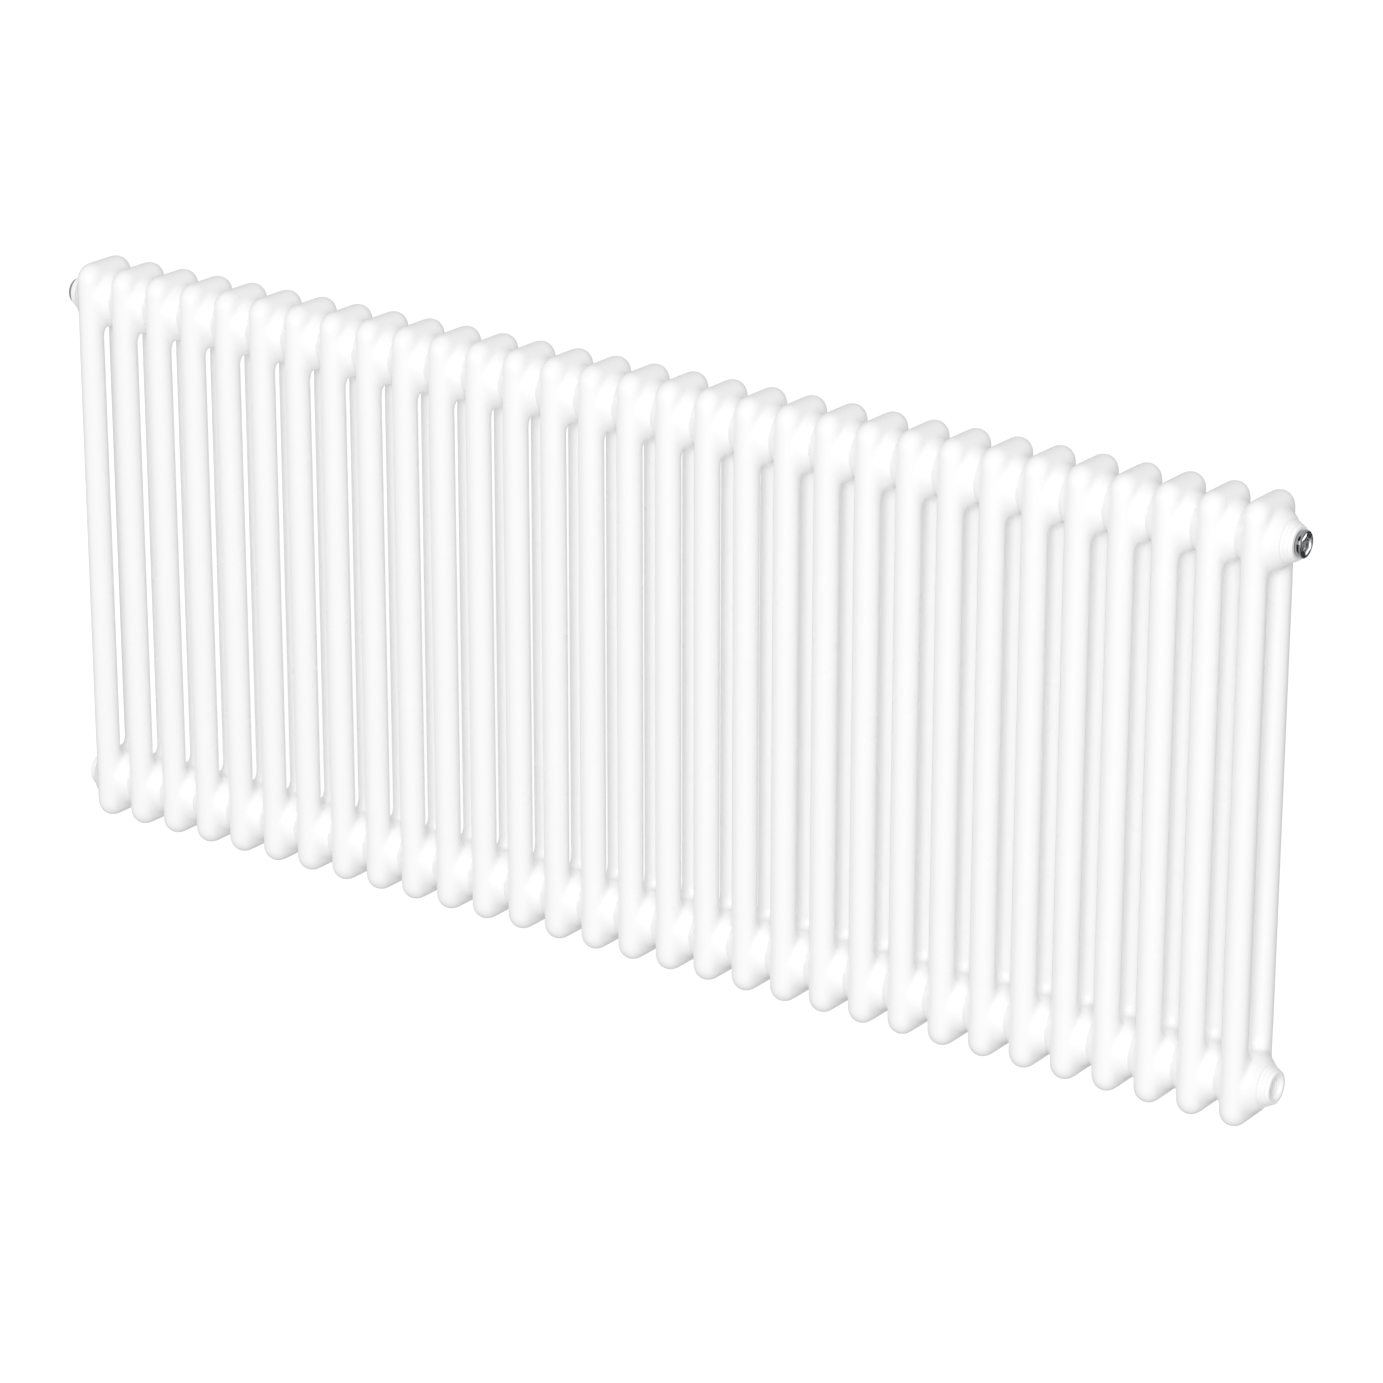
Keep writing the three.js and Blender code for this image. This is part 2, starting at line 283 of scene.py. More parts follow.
def mesh_of(bm, name):
    """The bmesh as a mesh, smooth but for its real edges."""
    mesh = bpy.data.meshes.new(name)
    bm.to_mesh(mesh)
    bm.free()
    for polygon in mesh.polygons:
        polygon.use_smooth = True
    mesh.set_sharp_from_angle(angle=math.radians(35))
    return mesh


def carved(bm, cutter):
    """The first solid with the second one cut out of it."""
    collection = bpy.context.scene.collection
    holders = []
    for part in (bm, cutter):
        mesh = bpy.data.meshes.new("blank")
        part.to_mesh(mesh)
        part.free()
        holders.append(bpy.data.objects.new("blank", mesh))
        collection.objects.link(holders[-1])
    cut = holders[0].modifiers.new("Cut", "BOOLEAN")
    cut.operation = "DIFFERENCE"
    cut.solver = "EXACT"
    cut.object = holders[1]
    result = bmesh.new()
    result.from_object(holders[0], bpy.context.evaluated_depsgraph_get())
    for holder in holders:
        bpy.data.meshes.remove(holder.data)
    return result


def piece(name, mesh, body, nodes, material):
    """An object of the finished model, riding on its body and standing for its CAD nodes."""
    obj = bpy.data.objects.new(name, mesh)
    bpy.context.scene.collection.objects.link(obj)
    mesh.materials.append(material)
    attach(obj, body)
    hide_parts(*nodes)
    return obj


def port_place(node):
    """A port's own axes: origin on its boss face, X pointing out of the radiator."""
    centre = middle(node)
    side = math.copysign(1, centre.x)
    place = Matrix.Translation((side * BOSS_FACE_X, 0, centre.z))
    return place if side > 0 else place @ Matrix.Rotation(math.pi, 4, "Z")


# ---- materials -----------------------------------------------------------------------


def linear(hex_value):
    """An sRGB hex value as linear red, green, blue and alpha."""
    channels = [int(hex_value[i:i + 2], 16) / 255 for i in (0, 2, 4)]
    return [c / 12.92 if c <= 0.04045 else ((c + 0.055) / 1.055) ** 2.4 for c in channels] + [1.0]


def add(tree, kind, settings=None, **links):
    """Adds a node. Settings are its own fields or its sockets' values; links feed its sockets."""
    node = tree.nodes.new(kind)
    for key, value in (settings or {}).items():
        if hasattr(node, key):
            setattr(node, key, value)
        else:
            node.inputs[key].default_value = value
    for key, source in links.items():
        target = node.inputs[key.replace("_", " ")]
        tree.links.new(source, target)
    return node


def new_material(name):
    """An empty node material with its output."""
    material = bpy.data.materials.get(name)
    if material:
        return material, None
    material = bpy.data.materials.new(name)
    material.use_nodes = True
    material.node_tree.nodes.clear()
    return material, material.node_tree


def centred(tree, stretch=(1, 1, 1)):
    """Object coordinates from the middle of the radiator, stretched where a pattern has a grain."""
    place = add(tree, "ShaderNodeTexCoord")
    mapping = add(tree, "ShaderNodeMapping",
                  {"Location": (0, 0, -RADIATOR_HEIGHT / 2), "Scale": stretch},
                  Vector=place.outputs["Object"])
    return mapping.outputs["Vector"]


def finish(tree, shader):
    """Joins the shader to the output."""
    add(tree, "ShaderNodeOutputMaterial", Surface=shader.outputs["BSDF"])


def powder_coat():
    """Gloss white polyester powder coat, sprayed dry and baked on steel.

    The baked coat flows into a faint orange peel, about 2.5 mm from hump to hump, and lies
    a little thicker in places, which gives the eye soft, slightly wavering highlights.
    """
    material, tree = new_material("gloss white polyester powder coat")
    if tree is None:
        return material
    colours = bpy.context.scene.radiator_finish
    where = centred(tree)
    flow = add(tree, "ShaderNodeTexNoise", {"Scale": 1 / (60 * MM), "Detail": 2.0}, Vector=where)
    tint = add(tree, "ShaderNodeMix", {"data_type": "RGBA"}, Factor=flow.outputs["Fac"])
    tint.inputs[6].default_value = linear(colours.coat)
    tint.inputs[7].default_value = linear(colours.coat_thick)
    gloss = add(tree, "ShaderNodeMapRange", {"To Min": 0.26, "To Max": 0.3},
                Value=flow.outputs["Fac"])
    peel = add(tree, "ShaderNodeTexNoise", {"Scale": 1 / (2.5 * MM), "Detail": 1.0}, Vector=where)
    bump = add(tree, "ShaderNodeBump", {"Strength": 0.06, "Distance": 0.02 * MM},
               Height=peel.outputs["Fac"])
    shader = add(tree, "ShaderNodeBsdfPrincipled",
                 {"IOR": 1.5, "Coat Weight": 0.2, "Coat Roughness": 0.1},
                 Base_Color=tint.outputs[2], Roughness=gloss.outputs["Result"],
                 Normal=bump.outputs["Normal"])
    finish(tree, shader)
    return material


def chrome_plate():
    """Bright chrome plate on turned brass, buffed round its axis.

    It gives the eye hard dark and light reflections, broken by a thin haze and by buffing
    lines 0.3 mm apart that run round the collar. Both of its colours are darker than bright
    chrome: painted shade that darkens the collar as dark reflections would.
    """
    material, tree = new_material("buffed chrome plate on brass")
    if tree is None:
        return material
    colours = bpy.context.scene.radiator_finish
    haze = add(tree, "ShaderNodeTexNoise", {"Scale": 1 / (3 * MM), "Detail": 3.0},
               Vector=centred(tree))
    # The tint wanders at random between the two chrome colours. Both are darkened as painted shade
    # on the collar.
    tint = add(tree, "ShaderNodeMix", {"data_type": "RGBA"}, Factor=haze.outputs["Fac"])
    tint.inputs[6].default_value = linear(colours.chrome)
    tint.inputs[7].default_value = linear(colours.chrome_haze_and_shade)
    rough = add(tree, "ShaderNodeMapRange", {"To Min": 0.04, "To Max": 0.14},
                Value=haze.outputs["Fac"])
    lines = add(tree, "ShaderNodeTexNoise", {"Scale": 1 / (0.3 * MM), "Detail": 1.0},
                Vector=centred(tree, (1, 0.04, 0.04)))
    bump = add(tree, "ShaderNodeBump", {"Strength": 0.1, "Distance": 0.005 * MM},
               Height=lines.outputs["Fac"])
    shader = add(tree, "ShaderNodeBsdfPrincipled", {"Metallic": 1.0},
                 Base_Color=tint.outputs[2], Roughness=rough.outputs["Result"],
                 Normal=bump.outputs["Normal"])
    finish(tree, shader)
    return material


def nickel_steel():
    """Nickel-plated free-cutting steel, turned on an automatic lathe.

    Turning lines 0.2 mm apart round the stem give a satin sheen, warmer than the chrome.
    """
    material, tree = new_material("turned nickel-plated steel")
    if tree is None:
        return material
    colours = bpy.context.scene.radiator_finish
    lines = add(tree, "ShaderNodeTexNoise", {"Scale": 1 / (0.2 * MM), "Detail": 2.0},
                Vector=centred(tree, (1, 0.05, 0.05)))
    tint = add(tree, "ShaderNodeMix", {"data_type": "RGBA"}, Factor=lines.outputs["Fac"])
    tint.inputs[6].default_value = linear(colours.nickel)
    tint.inputs[7].default_value = linear(colours.chrome_haze_and_shade)
    rough = add(tree, "ShaderNodeMapRange", {"To Min": 0.22, "To Max": 0.4},
                Value=lines.outputs["Fac"])
    bump = add(tree, "ShaderNodeBump", {"Strength": 0.25, "Distance": 0.01 * MM},
               Height=lines.outputs["Fac"])
    shader = add(tree, "ShaderNodeBsdfPrincipled", {"Metallic": 1.0},
                 Base_Color=tint.outputs[2], Roughness=rough.outputs["Result"],
                 Normal=bump.outputs["Normal"])
    finish(tree, shader)
    return material


def sealing_rubber():
    """Moulded EPDM sealing rubber.

    A matt black with a fine blasted-mould grain of 0.4 mm and a faint grey bloom.
    """
    material, tree = new_material("moulded EPDM rubber")
    if tree is None:
        return material
    colours = bpy.context.scene.radiator_finish
    grain = add(tree, "ShaderNodeTexNoise", {"Scale": 1 / (0.4 * MM), "Detail": 3.0},
                Vector=centred(tree))
    bloom = add(tree, "ShaderNodeMix", {"data_type": "RGBA"}, Factor=grain.outputs["Fac"])
    bloom.inputs[6].default_value = linear(colours.rubber)
    bloom.inputs[7].default_value = linear(colours.rubber_bloom)
    rough = add(tree, "ShaderNodeMapRange", {"To Min": 0.6, "To Max": 0.8},
                Value=grain.outputs["Fac"])
    bump = add(tree, "ShaderNodeBump", {"Strength": 0.3, "Distance": 0.02 * MM},
               Height=grain.outputs["Fac"])
    shader = add(tree, "ShaderNodeBsdfPrincipled", {"IOR": 1.52},
                 Base_Color=bloom.outputs[2], Roughness=rough.outputs["Result"],
                 Normal=bump.outputs["Normal"])
    finish(tree, shader)
    return material


def studio_floor(glow):
    """Matt white studio floor, lit from below like a light table, with a faint unevenness."""
    material, tree = new_material("matt white light table")
    if tree is None:
        return material
    colours = bpy.context.scene.radiator_finish
    cloud = add(tree, "ShaderNodeTexNoise", {"Scale": 0.7, "Detail": 1.0}, Vector=centred(tree))
    rough = add(tree, "ShaderNodeMapRange", {"To Min": 0.7, "To Max": 0.8},
                Value=cloud.outputs["Fac"])
    shader = add(tree, "ShaderNodeBsdfPrincipled",
                 {"Base Color": linear(colours.floor), "Emission Color": linear("FFFFFF"),
                  "Emission Strength": glow}, Roughness=rough.outputs["Result"])
    finish(tree, shader)
    return material


def black_felt():
    """Black felt on a studio flag, matt and slightly uneven."""
    material, tree = new_material("black felt")
    if tree is None:
        return material
    colours = bpy.context.scene.radiator_finish
    fluff = add(tree, "ShaderNodeTexNoise", {"Scale": 1 / (5 * MM)}, Vector=centred(tree))
    rough = add(tree, "ShaderNodeMapRange", {"To Min": 0.9, "To Max": 1.0},
                Value=fluff.outputs["Fac"])
    shader = add(tree, "ShaderNodeBsdfPrincipled", {"Base Color": linear(colours.felt)},
                 Roughness=rough.outputs["Result"])
    finish(tree, shader)
    return material


# ---- one section ---------------------------------------------------------------------


def head_volume(sizes):
    """The overlapping solids of a top head, with the origin on its hub axis."""
    bm = bmesh.new()
    tube = sizes.tube_diameter / 2
    column = sizes.column_spacing / 2
    corner = sizes.corner_radius
    corner_y = column + tube - corner
    corner_z = HUB_INSET - corner
    ridge_z = HUB_INSET - tube
    spring = Vector((0, 0, -sizes.arch_drop))
    half_round = [math.pi * share / 16 for share in range(17)]
    rim = [(-tube * math.cos(turn), corner - tube + tube * math.sin(turn)) for turn in half_round]

    for side in (-1, 1):
        turned(bm, rim, 64, Matrix.Translation((0, side * corner_y, corner_z)))
        stub_y = Vector((0, side * column, 0))
        cylinder(bm, tube, spring * 2 + stub_y, Vector((0, 0, corner_z)) + stub_y, 64)
    cylinder(bm, tube, Vector((0, -corner_y, ridge_z)), Vector((0, corner_y, ridge_z)), 64)

    foot = Matrix.Translation(spring + Vector((0, column, 0)))
    arch = bmesh.ops.create_circle(bm, segments=64, radius=tube, matrix=foot)["verts"]
    arch_edges = list({edge for vert in arch for edge in vert.link_edges})
    bmesh.ops.spin(bm, geom=arch + arch_edges, cent=spring, axis=(1, 0, 0), angle=math.pi, steps=32)
    web = bmesh.ops.create_cube(bm, size=1.0)["verts"]
    web_top, web_bottom = ridge_z, -sizes.web_depth
    bmesh.ops.scale(bm, vec=(2 * tube, 2 * column, web_top - web_bottom), verts=web)
    bmesh.ops.translate(bm, vec=(0, 0, (web_top + web_bottom) / 2), verts=web)

    # The dome's side is full at first: a quarter of its fall lies in the first two fifths.
    half = SECTION_PITCH / 2
    fall = sizes.dome_radius - sizes.join_radius
    past_join = 3 * MM
    dome = [(tube, sizes.dome_radius),
            (tube + 0.4 * (half - tube), sizes.dome_radius - 0.25 * fall),
            (half, sizes.join_radius), (half + past_join, sizes.join_radius - past_join)]
    turned(bm, [(-along, radius) for along, radius in reversed(dome)] + dome, 64)
    closed(bm)
    return bm


def blended(bm, voxel, rounds):
    """One skin round the overlapping solids, with its creases softened as in pressed sheet."""
    mesh = bpy.data.meshes.new("head volume")
    bm.to_mesh(mesh)
    bm.free()
    holder = bpy.data.objects.new("head volume", mesh)
    bpy.context.scene.collection.objects.link(holder)
    remesh = holder.modifiers.new("Skin", "REMESH")
    remesh.mode = "VOXEL"
    remesh.voxel_size = voxel
    skin = bmesh.new()
    skin.from_object(holder, bpy.context.evaluated_depsgraph_get())
    bpy.data.meshes.remove(mesh)
    for _ in range(rounds):
        bmesh.ops.smooth_vert(skin, verts=skin.verts, factor=0.5,
                              use_axis_x=True, use_axis_y=True, use_axis_z=True)
    return skin


def cut(bm, place, normal):
    """Cuts the mesh through and drops what lies beyond."""
    bmesh.ops.bisect_plane(bm, geom=everything(bm), dist=0.1 * MERGE_DISTANCE,
                           plane_co=place, plane_no=normal, clear_outer=True)


def mirrored(bm, axis, merge_distance):
    """Adds the mesh's mirror image across the plane through the origin."""
    bmesh.ops.mirror(bm, geom=everything(bm), matrix=Matrix.Identity(4),
                     merge_dist=merge_distance, axis=axis)


def rim_at(bm, axis, value):
    """The open edges that lie in a plane."""
    return [edge for edge in bm.edges if edge.is_boundary
            and all(abs(vert.co[axis] - value) < 0.01 * MM for vert in edge.verts)]


def section_mesh(sizes):
    """One section: a quarter of its top head is cut out, lined, mirrored and joined by tubes."""
    tube = sizes.tube_diameter / 2
    column = sizes.column_spacing / 2
    half = SECTION_PITCH / 2
    arch_z = -sizes.arch_drop
    bm = blended(head_volume(sizes), sizes.voxel, sizes.soften)

    # Below the arch the skin passes into a true round tube.
    for vert in bm.verts:
        weight = min(max((arch_z - vert.co.z) / sizes.rounding_length, 0), 1)
        out = vert.co - Vector((0, math.copysign(column, vert.co.y), vert.co.z))
        vert.co += out * (tube / max(out.length, MERGE_DISTANCE) - 1) * weight

    cut(bm, (0, 0, 0), (-1, 0, 0))
    cut(bm, (0, 0, 0), (0, -1, 0))
    cut(bm, (half, 0, 0), (1, 0, 0))
    cut(bm, (0, 0, arch_z - 1.5 * sizes.rounding_length), (0, 0, -1))

    # The passage to the next section: an annulus on the join face, then a lining.
    rim = rim_at(bm, 0, half)
    for along in (half, 0):
        verts, rim = grown_rim(bm, rim)
        for vert in verts:
            out = Vector((0, vert.co.y, vert.co.z)).normalized() * sizes.waterway_radius
            vert.co = (along, max(out.y, 0), out.z)

    mirrored(bm, "X", MERGE_DISTANCE)
    mirrored(bm, "Y", MERGE_DISTANCE)
    bmesh.ops.remove_doubles(bm, verts=bm.verts, dist=MERGE_DISTANCE)
    bmesh.ops.translate(bm, vec=(0, 0, RADIATOR_HEIGHT / 2 - HUB_INSET), verts=bm.verts)
    mirrored(bm, "Z", 0)

    for side in (-1, 1):
        rims = [edge for edge in bm.edges if edge.is_boundary and edge.verts[0].co.y * side > 0]
        bmesh.ops.bridge_loops(bm, edges=rims)
    bmesh.ops.translate(bm, vec=(0, 0, RADIATOR_HEIGHT / 2), verts=bm.verts)
    closed(bm)
    return mesh_of(bm, "section")


# ---- ports, vent and plug ------------------------------------------------------------


def bush_bmesh(sizes):
    """A threaded bush: a stepped boss, a chamfered mouth, a bore and the thread's helix."""
    bm = bmesh.new()
    step = sizes.boss_length / 3
    end = -sizes.bush_length
    depth = sizes.mouth_radius - sizes.root_radius
    stations = [
        (end, sizes.root_radius), (end, sizes.spigot_radius), (-3 * step, sizes.spigot_radius),
        (-3 * step, sizes.outer_step), (-2 * step, sizes.outer_step),
        (-2 * step, sizes.middle_step), (-step, sizes.middle_step),
        (-step, sizes.face_step), (0, sizes.face_step),
        (0, sizes.mouth_radius), (-depth, sizes.root_radius), (end, sizes.root_radius),
    ]
    turned(bm, stations, 96)
    closed(bm)
    rounded_edges(bm, 0.5 * MM)

    thread = bmesh.new()
    sides, turns = 72, 6
    start = end + MM
    buried = sizes.root_radius + 0.4 * MM
    # One thread, in shares of the pitch: two flanks that start inside the wall, and a flat crest.
    profile = [(0.05, buried), (0.42, sizes.crest_radius),
               (0.58, sizes.crest_radius), (0.95, buried)]
    corners = [thread.verts.new((start + share * sizes.thread_pitch, 0, out))
               for share, out in profile]
    loop = [thread.edges.new(pair) for pair in zip(corners, corners[1:] + corners[:1])]
    bmesh.ops.spin(thread, geom=corners + loop, cent=(0, 0, 0), axis=(1, 0, 0),
                   dvec=(sizes.thread_pitch / sides, 0, 0),
                   angle=2 * math.pi * turns, steps=sides * turns)
    closed(thread)
    helix = bpy.data.meshes.new("thread")
    thread.to_mesh(helix)
    thread.free()
    bm.from_mesh(helix)
    bpy.data.meshes.remove(helix)
    return bm


def blank_bmesh(sizes, mouth_radius, bore=None):
    """The turned blank of vent and plug, with its hexagon socket, and a bore if it is the vent."""
    bm = bmesh.new()
    top = sizes.collar_height
    collar_chamfer, shank_chamfer, socket_chamfer = 0.8 * MM, MM, 0.4 * MM
    socket = sizes.socket_flats / 2
    stations = [
        (-sizes.shank_length, sizes.shank_radius - shank_chamfer),
        (shank_chamfer - sizes.shank_length, sizes.shank_radius),
        (GAP, sizes.shank_radius), (GAP, mouth_radius),
        (sizes.collar_flare, sizes.collar_radius), (top - collar_chamfer, sizes.collar_radius),
        (top, sizes.collar_radius - collar_chamfer),
        (top - sizes.face_dish, socket + socket_chamfer, 6),
        (top - sizes.face_dish - socket_chamfer, socket, 6),
        (sizes.socket_floor, socket, 6),
    ]
    if bore:
        # The seal's bore, the spindle's bore, the 45 degree valve seat and the jet behind it.
        spindle_bore, jet, shoulder, seat = 3.3 * MM, 1.2 * MM, -1.3 * MM, -9.5 * MM
        inner_end = (-sizes.shank_length, jet)
        stations = [inner_end, *stations, (sizes.socket_floor, bore), (shoulder, bore),
                    (shoulder, spindle_bore), (seat + spindle_bore - jet, spindle_bore),
                    (seat, jet), inner_end]
    turned(bm, stations, 96)
    closed(bm)
    rounded_edges(bm, 0.18 * MM, segments=2)
    return bm


def ring_mesh(mean_radius, section_radius, along, place, name):
    """A moulded sealing ring."""
    bm = bmesh.new()
    circle = bmesh.ops.create_circle(bm, segments=24, radius=section_radius,
                                     matrix=Matrix.Translation((along, mean_radius, 0)))["verts"]
    edges = list({edge for vert in circle for edge in vert.link_edges})
    bmesh.ops.spin(bm, geom=circle + edges, cent=(0, 0, 0), axis=(1, 0, 0), angle=2 * math.pi,
                   steps=96, use_merge=True)
    closed(bm)
    bmesh.ops.transform(bm, matrix=place, verts=bm.verts)
    return mesh_of(bm, name)


def port_seal_mesh(vent, ports, place, name):
    """The ring that nests between a port's mouth, the shank and the collar."""
    nest = (ports.mouth_radius + GAP - vent.shank_radius) * (1 - math.sqrt(0.5))
    return ring_mesh(vent.shank_radius + nest, nest - GAP, GAP - nest, place, name)


# ---- operators -----------------------------------------------------------------------


class RADIATOR_OT_sections(bpy.types.Operator):
    """Build the painted sections, each two tubes welded into two heads"""

    bl_idname = "radiator.sections"
    bl_label = "Sections"

    def execute(self, context):
        pattern = section_mesh(context.scene.radiator_section)
        paint = powder_coat()
        for node in SECTION_NODES:
            mesh = pattern.copy()
            mesh.name = f"radiator_{node}"
            mesh.transform(Matrix.Translation((middle(node).x, 0, 0)))
            piece(f"radiator_{node}", mesh, "radiator", [node], paint)
        bpy.data.meshes.remove(pattern)
        return {"FINISHED"}


class RADIATOR_OT_port_bushes(bpy.types.Operator):
    """Build the four threaded bushes at the ends"""

    bl_idname = "radiator.port_bushes"
    bl_label = "Port Bushes"

    def execute(self, context):
        paint = powder_coat()
        pattern = mesh_of(bush_bmesh(context.scene.radiator_port), "bush")
        for node in BUSH_NODES:
            mesh = pattern.copy()
            mesh.name = f"threaded_{node}"
            mesh.transform(port_place(node))
            piece(f"threaded_{node}", mesh, "radiator", [node], paint)
        bpy.data.meshes.remove(pattern)
        return {"FINISHED"}


class RADIATOR_OT_air_vent(bpy.types.Operator):
    """Build the air vent, its bleed spindle and their seals"""

    bl_idname = "radiator.air_vent"
    bl_label = "Air Vent"

    def execute(self, context):
        vent = context.scene.radiator_vent
        ports = context.scene.radiator_port
        place = port_place("port_bush_top_right")

        body = blank_bmesh(vent, ports.mouth_radius, vent.bore_radius)
        # The air's way out: from the spindle's bore, slanting 60 degrees down to the collar's rim.
        outlet = bmesh.new()
        start = Vector((-2.7, 0, -2)) * MM
        slant = Vector((0.5, 0, -math.sqrt(0.75)))
        cylinder(outlet, 0.8 * MM, start, start + slant * 14 * MM, 24)
        closed(outlet)
        body = carved(body, outlet)
        bmesh.ops.transform(body, matrix=place, verts=body.verts)
        piece("air_vent_turned_body", mesh_of(body, "air_vent_turned_body"), "radiator",
              ["air_vent_body"], chrome_plate())
        seal = port_seal_mesh(vent, ports, place, "air_vent_sealing_ring")
        piece("air_vent_sealing_ring", seal, "radiator", ["air_vent_seal"],
              sealing_rubber())

        # A cone tip, the threaded body, the seal's groove, its collar and the square end.
        stem = bmesh.new()
        body_radius, groove_radius, stem_collar_radius = 3 * MM, 2 * MM, 3.75 * MM
        groove, collar, square_end, chamfer = -0.45 * MM, 1.65 * MM, 5.9 * MM, 0.4 * MM
        square_start = 2.6 * MM
        flat = vent.square_flats / 2
        turned(stem, [
            (-9.7 * MM, 0.5 * MM), (-7.2 * MM, body_radius),
            (groove, body_radius), (groove, groove_radius),
            (collar, groove_radius), (collar, stem_collar_radius),
            (square_start, stem_collar_radius), (square_start, flat, 4),
            (square_end - chamfer, flat, 4), (square_end, flat - chamfer, 4),
        ], 64)
        closed(stem)
        rounded_edges(stem, 0.1 * MM, segments=2)
        bmesh.ops.transform(stem, matrix=place, verts=stem.verts)
        piece("bleed_spindle_turned_stem", mesh_of(stem, "bleed_spindle_turned_stem"), "spindle",
              ["bleed_spindle"], nickel_steel())
        ring = ring_mesh(3.1 * MM, 0.75 * MM, 0.6 * MM, place, "bleed_spindle_sealing_ring")
        piece("bleed_spindle_sealing_ring", ring, "spindle_seal", ["bleed_spindle_seal"],
              sealing_rubber())
        return {"FINISHED"}


class RADIATOR_OT_blanking_plug(bpy.types.Operator):
    """Build the blanking plug and its seal"""

    bl_idname = "radiator.blanking_plug"
    bl_label = "Blanking Plug"

    def execute(self, context):
        vent = context.scene.radiator_vent
        ports = context.scene.radiator_port
        place = port_place("port_bush_top_left")
        plug = blank_bmesh(vent, ports.mouth_radius)
        bmesh.ops.transform(plug, matrix=place, verts=plug.verts)
        piece("blanking_plug_turned_body", mesh_of(plug, "blanking_plug_turned_body"), "radiator",
              ["blanking_plug"], chrome_plate())
        seal = port_seal_mesh(vent, ports, place, "blanking_plug_sealing_ring")
        piece("blanking_plug_sealing_ring", seal, "radiator", ["blanking_plug_seal"],
              sealing_rubber())
        return {"FINISHED"}


def area_light(name, power, size, place, aim):
    """A soft white light that looks at a point."""
    data = bpy.data.lights.new(name, "AREA")
    data.energy = power
    data.shape = "RECTANGLE"
    data.size, data.size_y = size
    light = bpy.data.objects.new(name, data)
    light.location = place
    light.rotation_euler = (Vector(aim) - Vector(place)).to_track_quat("-Z", "Y").to_euler()
    bpy.context.scene.collection.objects.link(light)
    return light


def reflection_flag(name, away, along, half_size):
    """A black card in a direction from the vent, seen only in reflections."""
    normal = -Vector(away).normalized()
    length_way = (Vector(along) - Vector(along).dot(normal) * normal).normalized()
    turn = Matrix((length_way, normal.cross(length_way), normal)).transposed().to_4x4()
    place = Matrix.Translation(middle("air_vent_body") - CARD_DISTANCE * normal) @ turn
    bm = bmesh.new()
    bmesh.ops.create_grid(bm, x_segments=1, y_segments=1, size=1.0,
                          matrix=place @ Matrix.Diagonal((*half_size, 1, 1)))
    flag = bpy.data.objects.new(name, mesh_of(bm, name))
    bpy.context.scene.collection.objects.link(flag)
    flag.data.materials.append(black_felt())
    flag.visible_camera = flag.visible_diffuse = flag.visible_shadow = False


def studio_lights(stage):
    """One large soft light in front and a weaker one behind, which throws no sheen."""
    target = (0, 0, RADIATOR_HEIGHT / 2)
    soft = (7.0, 6.0)
    area_light("front_light", stage.key_power, soft, (6.0, -11.7, 5.0), target)
    back = area_light("back_light", stage.back_power, soft, (-5.0, 11.5, 1.8), target)
    back.visible_glossy = False


def chrome_reflections(stage):
    """Black flags for the chrome's dark parts, and small lights on chrome alone for its glints."""
    reflection_flag("flag_behind", (0.5, 0.76, -0.42), (-0.2, 0.3, 0.3), (0.9, 0.42))
    reflection_flag("flag_in_front", (-0.53, -0.75, -0.5), (0, 0, 1), (1.0, 1.0))
    reflection_flag("flag_above", (-0.45, -0.5, 0.74), (1, 0, 0), (0.9, 0.45))

    chrome_pieces = bpy.data.collections.new("chrome pieces")
    for name in ("air_vent_turned_body", "blanking_plug_turned_body"):
        chrome_pieces.objects.link(bpy.data.objects[name])
    vent = middle("air_vent_body")
    for name, away in (("glint_left", (0.153, 0.853, -0.503)),
                       ("glint_right", (0.814, 0.548, -0.198))):
        glint = area_light(name, stage.glint_power, (0.9, 0.34),
                           vent + CARD_DISTANCE * Vector(away), vent)
        glint.light_linking.receiver_collection = chrome_pieces
        glint.visible_camera = False


def surroundings(stage):
    """Soft light all round, weaker from below and from behind."""
    world = bpy.data.worlds.new("studio_surroundings")
    world.use_nodes = True
    tree = world.node_tree
    tree.nodes.clear()
    place = add(tree, "ShaderNodeTexCoord")
    way = add(tree, "ShaderNodeSeparateXYZ", Vector=place.outputs["Generated"])
    height = add(tree, "ShaderNodeMapRange", {"interpolation_type": "SMOOTHSTEP", "From Min": -1.0,
                 "To Min": stage.light_below, "To Max": stage.light_above}, Value=way.outputs["Z"])
    depth = add(tree, "ShaderNodeMapRange", {"interpolation_type": "SMOOTHSTEP", "From Min": -1.0,
                "To Min": 1.0, "To Max": stage.light_behind}, Value=way.outputs["Y"])
    strength = add(tree, "ShaderNodeMath", {"operation": "MULTIPLY"})
    tree.links.new(height.outputs["Result"], strength.inputs[0])
    tree.links.new(depth.outputs["Result"], strength.inputs[1])
    sky = add(tree, "ShaderNodeBackground", {"Color": linear("FFFFFF")},
              Strength=strength.outputs["Value"])
    add(tree, "ShaderNodeOutputWorld", Surface=sky.outputs["Background"])
    return world


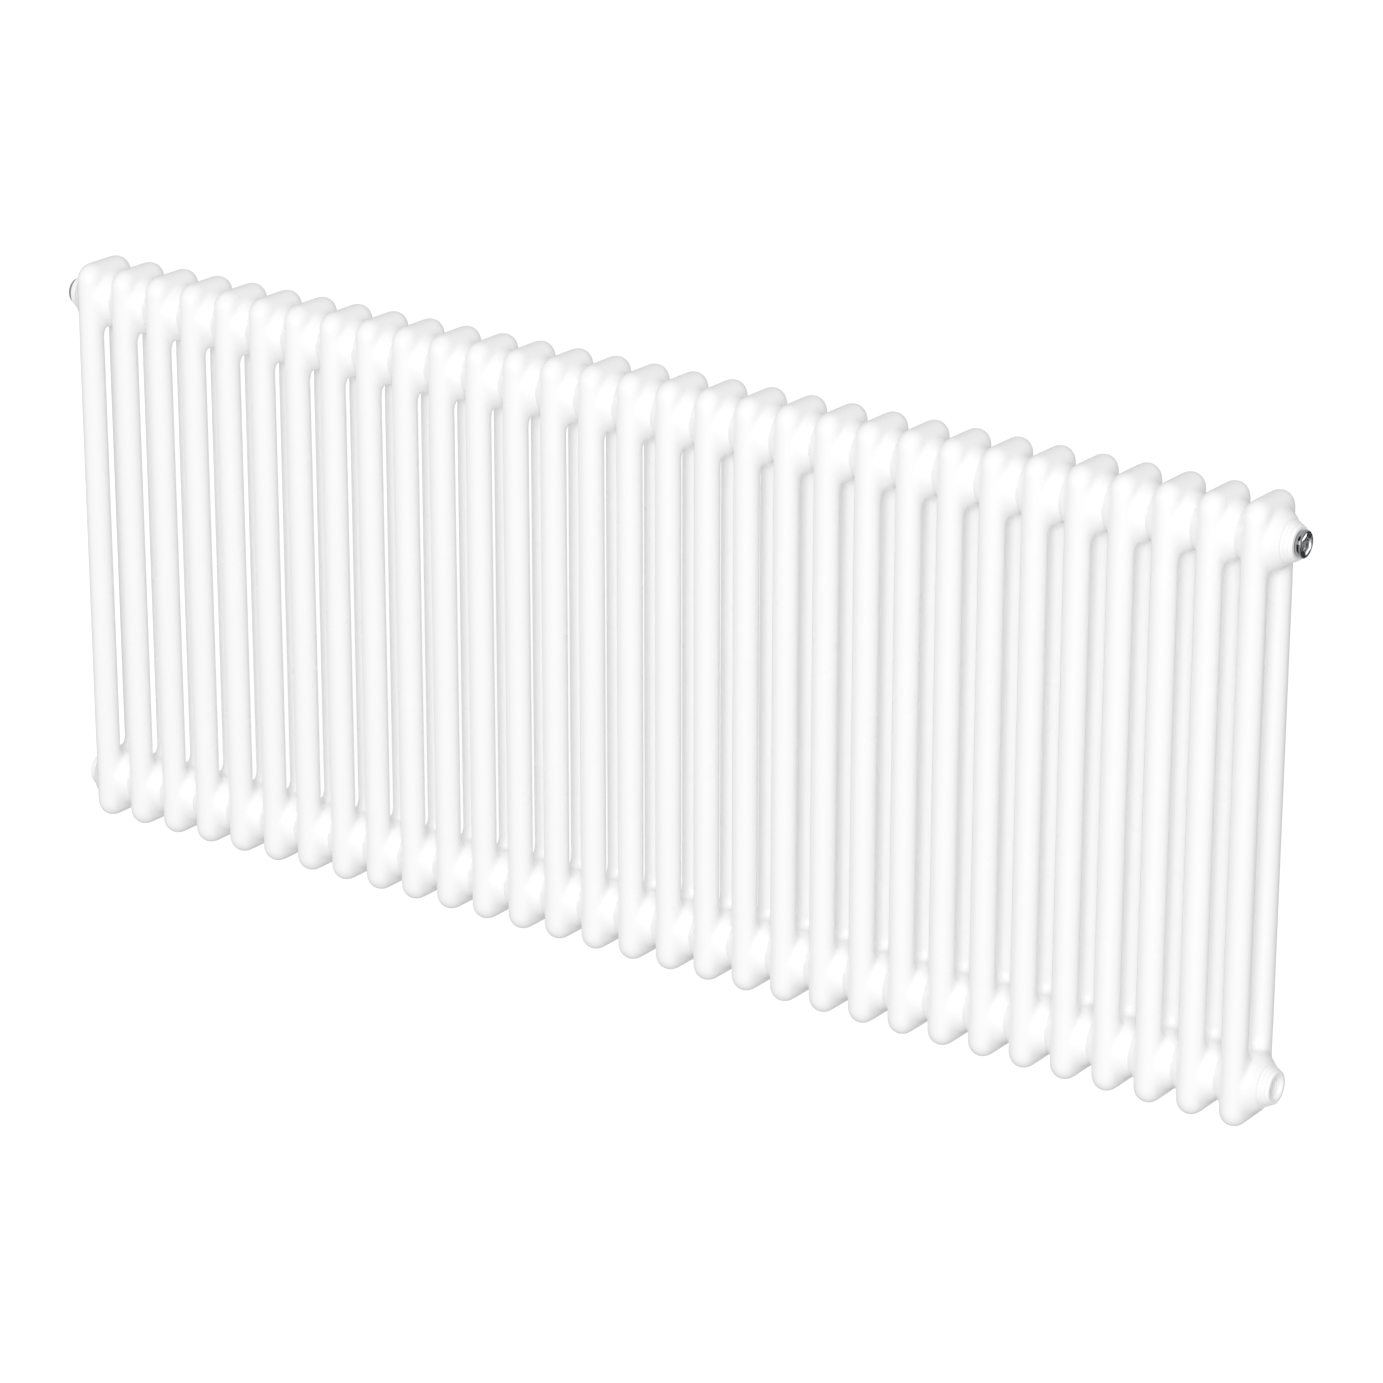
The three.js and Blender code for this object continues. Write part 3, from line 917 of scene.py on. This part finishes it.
class RADIATOR_OT_stage(bpy.types.Operator):
    """Set up the floor, the lights, the surroundings and the camera"""

    bl_idname = "radiator.stage"
    bl_label = "Studio"

    def execute(self, context):
        scene = context.scene
        stage = scene.radiator_stage

        bm = bmesh.new()
        bmesh.ops.create_grid(bm, x_segments=8, y_segments=8, size=FLOOR_HALF_WIDTH,
                              matrix=Matrix.Translation((0, 0, CAD_BOX[0][2] - stage.floor_drop)))
        floor = bpy.data.objects.new("studio_floor", mesh_of(bm, "studio_floor"))
        scene.collection.objects.link(floor)
        floor.data.materials.append(studio_floor(stage.floor_glow))
        floor.visible_diffuse = floor.visible_glossy = floor.visible_shadow = False

        chrome_reflections(stage)
        studio_lights(stage)
        scene.world = surroundings(stage)

        data = bpy.data.cameras.new("camera")
        data.lens = stage.camera_lens
        data.sensor_width = 36.0
        data.clip_end = 100.0
        camera = bpy.data.objects.new("camera", data)
        camera.location = stage.camera_place
        camera.rotation_euler = stage.camera_turn
        scene.collection.objects.link(camera)
        scene.camera = camera
        scene.view_settings.view_transform = "Standard"
        scene.view_settings.gamma = stage.picture_gamma
        return {"FINISHED"}


# ---- panel and registration ----------------------------------------------------------

GROUPS = (
    ("radiator_section", SectionSizes),
    ("radiator_port", PortSizes),
    ("radiator_vent", VentSizes),
    ("radiator_finish", FinishColours),
    ("radiator_stage", StageSettings),
)
OPERATORS = (
    RADIATOR_OT_sections,
    RADIATOR_OT_port_bushes,
    RADIATOR_OT_air_vent,
    RADIATOR_OT_blanking_plug,
    RADIATOR_OT_stage,
)


class RADIATOR_PT_build(bpy.types.Panel):
    """Lists the radiator's pieces and their sizes"""

    bl_idname = "RADIATOR_PT_build"
    bl_label = "Column Radiator"
    bl_space_type = "VIEW_3D"
    bl_region_type = "UI"
    bl_category = "Radiator"

    def draw(self, context):
        for operator in OPERATORS:
            self.layout.operator(operator.bl_idname)
        for name, group in GROUPS:
            box = self.layout.box()
            box.label(text=group.__doc__)
            for key in group.__annotations__:
                box.prop(getattr(context.scene, name), key)


def register():
    """Registers the groups, operators and panel, and hangs the groups on the scene."""
    for name, group in GROUPS:
        bpy.utils.register_class(group)
        setattr(bpy.types.Scene, name, PointerProperty(type=group))
    for cls in (*OPERATORS, RADIATOR_PT_build):
        bpy.utils.register_class(cls)


def unregister():
    """Takes everything off again."""
    for cls in (RADIATOR_PT_build, *reversed(OPERATORS)):
        bpy.utils.unregister_class(cls)
    for name, group in reversed(GROUPS):
        delattr(bpy.types.Scene, name)
        bpy.utils.unregister_class(group)


def main():
    """Builds everything in order."""
    register()
    bpy.ops.radiator.sections()
    bpy.ops.radiator.port_bushes()
    bpy.ops.radiator.air_vent()
    bpy.ops.radiator.blanking_plug()
    bpy.ops.radiator.stage()


if __name__ == "__main__":
    main()
